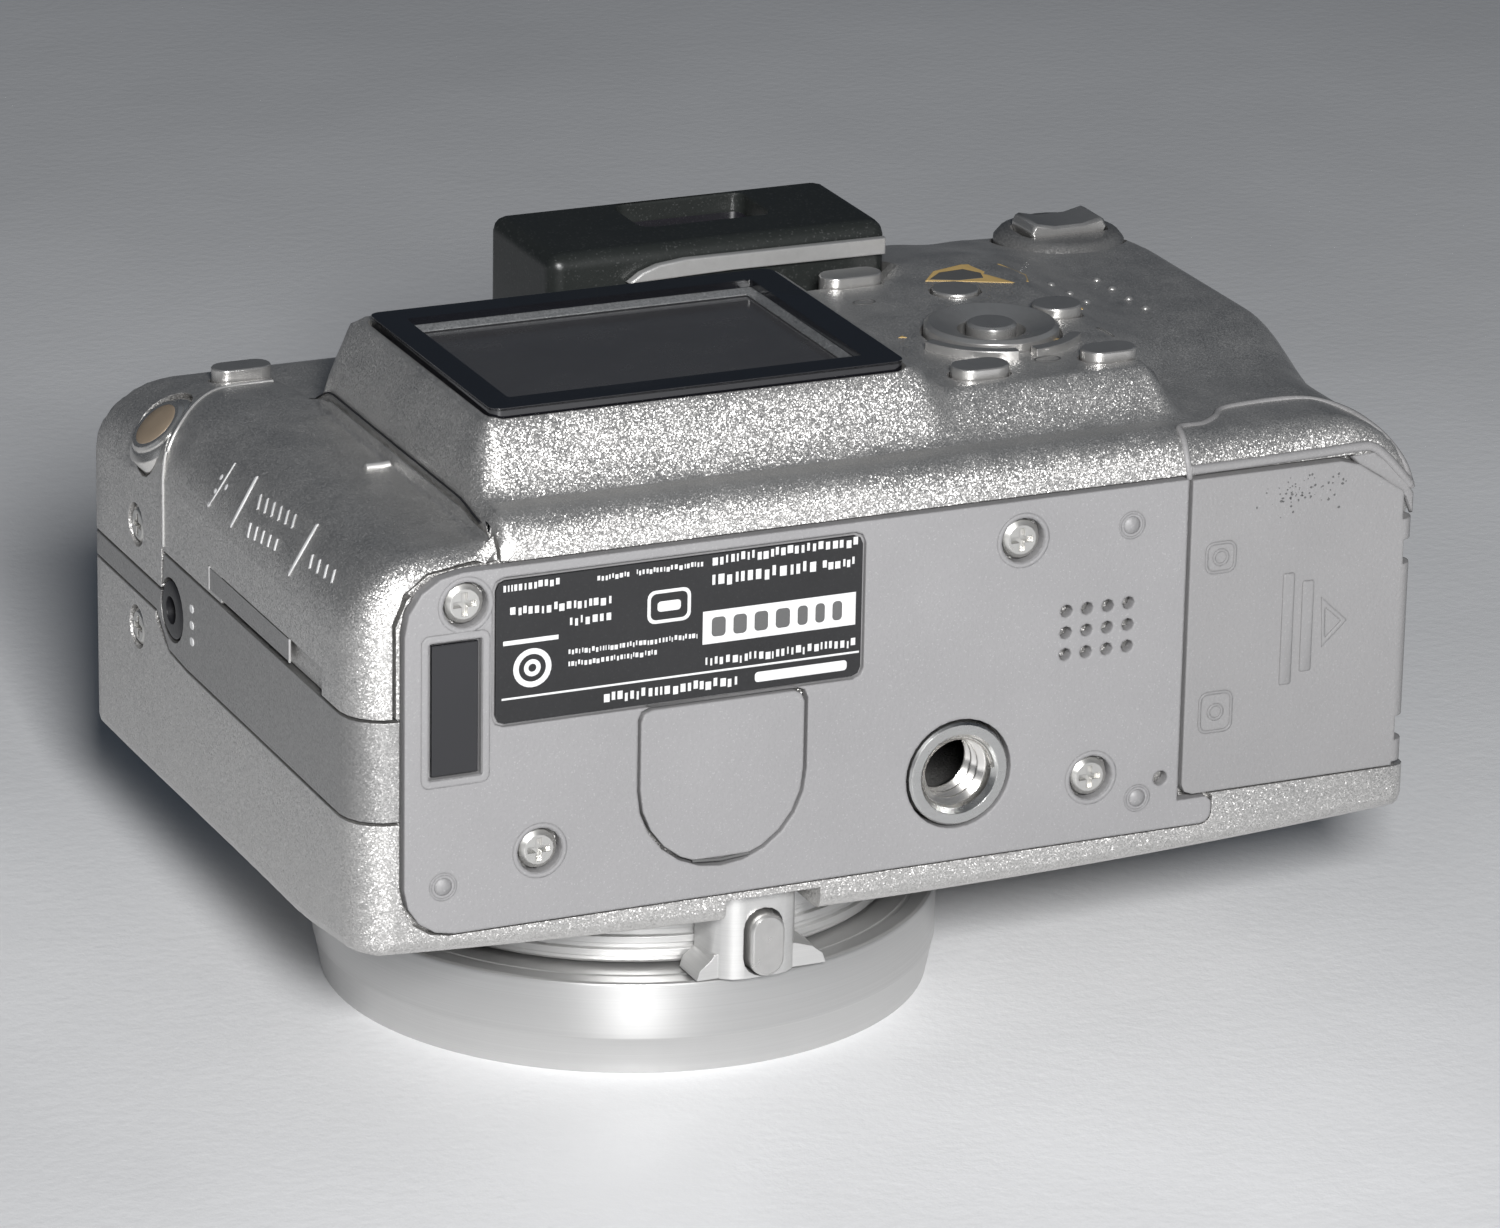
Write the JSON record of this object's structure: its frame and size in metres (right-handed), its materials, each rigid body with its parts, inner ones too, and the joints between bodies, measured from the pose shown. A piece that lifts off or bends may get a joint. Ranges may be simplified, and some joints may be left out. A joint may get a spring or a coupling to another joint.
{
  "type": "compact digital camera",
  "caption": "Compact camera standing on its lens ring, with screen, viewfinder, push buttons, a sliding and hinged battery door, connector cover, and extending lens barrels.",
  "frame": {"origin": "middle of the footprint, at the height of the lens ring's foot", "axes": "+X towards the battery door end, +Y towards the camera's top with the accessory shoe, +Z out of the back, so the lens looks along -Z"},
  "size_m": [0.0988, 0.0702, 0.0604],
  "materials": {
    "accessory_jack": "black socket",
    "base_plate": "light grey fine texture",
    "base_screw_a": "plated cross-head screw",
    "base_screw_b": "plated cross-head screw",
    "base_screw_c": "plated cross-head screw",
    "base_screw_d": "plated cross-head screw",
    "battery_door": "light grey fine texture",
    "battery_pack": "dark wrapped cell",
    "centre_button": "satin plated plastic",
    "chassis_plate": "pressed steel",
    "connector_block": "black",
    "connector_cover": "silver lacquer over plastic, matching the shells",
    "control_pad": "satin plated ring",
    "dark_pad": "dark window",
    "display_button": "satin plated plastic",
    "door_slider": "plain steel",
    "eyepiece_glass": "coated eyepiece",
    "finder_front_glass": "front window",
    "finger_grip": "dark grey grip",
    "flash_button": "satin plated plastic",
    "flash_head": "silver lacquer",
    "focus_button": "satin plated plastic",
    "focus_lamp": "red translucent",
    "front_shell": "satin silver lacquer with a coarse metal flake",
    "hot_shoe": "folded steel",
    "inner_barrel": "black",
    "lcd_module": "dark display",
    "lcd_window": "clear window with a black printed border",
    "lens_flange": "satin turned aluminium",
    "lens_glass": "coated front element",
    "lens_ring": "satin turned aluminium",
    "lens_sleeve": "black",
    "lock_button": "satin plated plastic",
    "main_board": "green circuit board",
    "memory_card": "dark blue card",
    "menu_button": "satin plated plastic",
    "mode_dial": "turned with a milled edge",
    "outer_barrel": "satin turned aluminium",
    "power_button": "satin plated plastic",
    "rating_label": null,
    "rear_shell": "satin silver lacquer with a coarse metal flake",
    "release_button": "satin plated plastic",
    "release_post": "satin silver",
    "review_button": "satin plated plastic",
    "rocker_collar": "dark grey metallic",
    "service_cap": "light grey fine texture",
    "shutter_button": "satin plated plastic",
    "side_band": "darker grey satin with fine flake",
    "side_screw_a": "plated cross-head screw",
    "side_screw_b": "plated cross-head screw",
    "speaker": "black",
    "strap_lug": "polished ring with a warm face",
    "tripod_socket": "turned steel insert",
    "viewfinder_housing": "matte black",
    "zoom_rocker": "satin plated"
  },
  "bodies": {
    "casing": {"accessory_jack": "accessory_jack", "base_plate": "base_plate", "base_screw_a": "base_screw_a", "base_screw_b": "base_screw_b", "base_screw_c": "base_screw_c", "base_screw_d": "base_screw_d", "battery_pack": "battery_pack", "chassis_plate": "chassis_plate", "connector_block": "connector_block", "dark_pad": "dark_pad", "eyepiece_glass": "eyepiece_glass", "finder_front_glass": "finder_front_glass", "finger_grip": "finger_grip", "focus_lamp": "focus_lamp", "front_shell": "front_shell", "hot_shoe": "hot_shoe", "lcd_module": "lcd_module", "lcd_window": "lcd_window", "lens_flange": "lens_flange", "lens_sleeve": "lens_sleeve", "main_board": "main_board", "memory_card": "memory_card", "rating_label": "rating_label", "rear_shell": "rear_shell", "release_post": "release_post", "rocker_collar": "rocker_collar", "service_cap": "service_cap", "side_band": "side_band", "side_screw_a": "side_screw_a", "side_screw_b": "side_screw_b", "speaker": "speaker", "strap_lug": "strap_lug", "tripod_socket": "tripod_socket", "viewfinder_housing": "viewfinder_housing"},
    "battery_door": {"battery_door": "battery_door"},
    "door_slider": {"door_slider": "door_slider"},
    "connector_cover": {"connector_cover": "connector_cover"},
    "zoom_rocker": {"zoom_rocker": "zoom_rocker"},
    "mode_dial": {"mode_dial": "mode_dial"},
    "shutter_button": {"shutter_button": "shutter_button"},
    "power_button": {"power_button": "power_button"},
    "flash_head": {"flash_head": "flash_head"},
    "lens_ring": {"lens_ring": "lens_ring"},
    "release_button": {"release_button": "release_button"},
    "outer_barrel": {"outer_barrel": "outer_barrel"},
    "inner_barrel": {"inner_barrel": "inner_barrel", "lens_glass": "lens_glass"},
    "display_button": {"display_button": "display_button"},
    "lock_button": {"lock_button": "lock_button"},
    "focus_button": {"focus_button": "focus_button"},
    "menu_button": {"menu_button": "menu_button"},
    "review_button": {"review_button": "review_button"},
    "flash_button": {"flash_button": "flash_button"},
    "control_pad": {"control_pad": "control_pad"},
    "centre_button": {"centre_button": "centre_button"}
  },
  "joints": [
    {"name": "door_slide", "type": "slide", "parent": "casing", "child": "door_slider", "axis": [1, 0, 0], "range_m": [0, 0.0012]},
    {"name": "door_hinge", "type": "hinge", "parent": "door_slider", "child": "battery_door", "pos_m": [0.04769, -0.03367, 0.0325], "axis": [0, 0, 1], "range_deg": [0, 95]},
    {"name": "cover_hinge", "type": "hinge", "parent": "casing", "child": "connector_cover", "pos_m": [-0.03596, -0.00992, 0.0524], "axis": [0, 1, 0], "range_deg": [0, 90]},
    {"name": "display_button_press", "type": "slide", "parent": "casing", "child": "display_button", "axis": [0, 0, -1], "range_m": [0, 0.0005], "stiffness_N_per_m": 1500, "springref_m": -0.0002},
    {"name": "lock_button_press", "type": "slide", "parent": "casing", "child": "lock_button", "axis": [0, 0, -1], "range_m": [0, 0.0005], "stiffness_N_per_m": 1500, "springref_m": -0.0002},
    {"name": "focus_button_press", "type": "slide", "parent": "casing", "child": "focus_button", "axis": [0, 0, -1], "range_m": [0, 0.0005], "stiffness_N_per_m": 1500, "springref_m": -0.0002},
    {"name": "menu_button_press", "type": "slide", "parent": "casing", "child": "menu_button", "axis": [0, 0, -1], "range_m": [0, 0.0005], "stiffness_N_per_m": 1500, "springref_m": -0.0002},
    {"name": "review_button_press", "type": "slide", "parent": "casing", "child": "review_button", "axis": [0, 0, -1], "range_m": [0, 0.0005], "stiffness_N_per_m": 1500, "springref_m": -0.0002},
    {"name": "flash_button_press", "type": "slide", "parent": "casing", "child": "flash_button", "axis": [0, 0, -1], "range_m": [0, 0.0005], "stiffness_N_per_m": 1500, "springref_m": -0.0002},
    {"name": "centre_button_press", "type": "slide", "parent": "casing", "child": "centre_button", "axis": [0, 0, -1], "range_m": [0, 0.0005], "stiffness_N_per_m": 1500, "springref_m": -0.0002},
    {"name": "control_pad_press", "type": "slide", "parent": "casing", "child": "control_pad", "axis": [0, 0, -1], "range_m": [0, 0.0004], "stiffness_N_per_m": 1500, "springref_m": -0.0002},
    {"name": "zoom_rocker_tip", "type": "hinge", "parent": "casing", "child": "zoom_rocker", "pos_m": [0.04104, 0.01968, 0.0541], "axis": [0, 1, 0], "range_deg": [-7, 7], "stiffness_Nm_per_rad": 0.05},
    {"name": "mode_dial_turn", "type": "hinge", "parent": "casing", "child": "mode_dial", "pos_m": [0.02544, 0.03168, 0.0334], "axis": [0, 1, 0], "continuous": true},
    {"name": "shutter_button_press", "type": "slide", "parent": "casing", "child": "shutter_button", "axis": [0, -1, 0], "range_m": [0, 0.0009], "stiffness_N_per_m": 1500, "springref_m": -0.0002},
    {"name": "power_button_press", "type": "slide", "parent": "casing", "child": "power_button", "axis": [0, -1, 0], "range_m": [0, 0.0005], "stiffness_N_per_m": 1500, "springref_m": -0.0002},
    {"name": "flash_head_lift", "type": "hinge", "parent": "casing", "child": "flash_head", "pos_m": [-0.02506, 0.03138, 0.0302], "axis": [1, 0, 0], "range_deg": [0, 60]},
    {"name": "lens_ring_turn", "type": "hinge", "parent": "casing", "child": "lens_ring", "pos_m": [-0.01119, -0.00323, 0.004], "axis": [0, 0, 1], "range_deg": [0, 30]},
    {"name": "release_button_press", "type": "slide", "parent": "casing", "child": "release_button", "axis": [0, 1, 0], "range_m": [0, 0.0008], "stiffness_N_per_m": 1500, "springref_m": -0.0002},
    {"name": "outer_barrel_slide", "type": "slide", "parent": "casing", "child": "outer_barrel", "axis": [0, 0, -1], "range_m": [0, 0.016]},
    {"name": "inner_barrel_slide", "type": "slide", "parent": "outer_barrel", "child": "inner_barrel", "axis": [0, 0, -1], "range_m": [0, 0.0096]}
  ],
  "couplings": [
    {"joint": "inner_barrel_slide", "follows": "outer_barrel_slide", "ratio": 0.6}
  ]
}
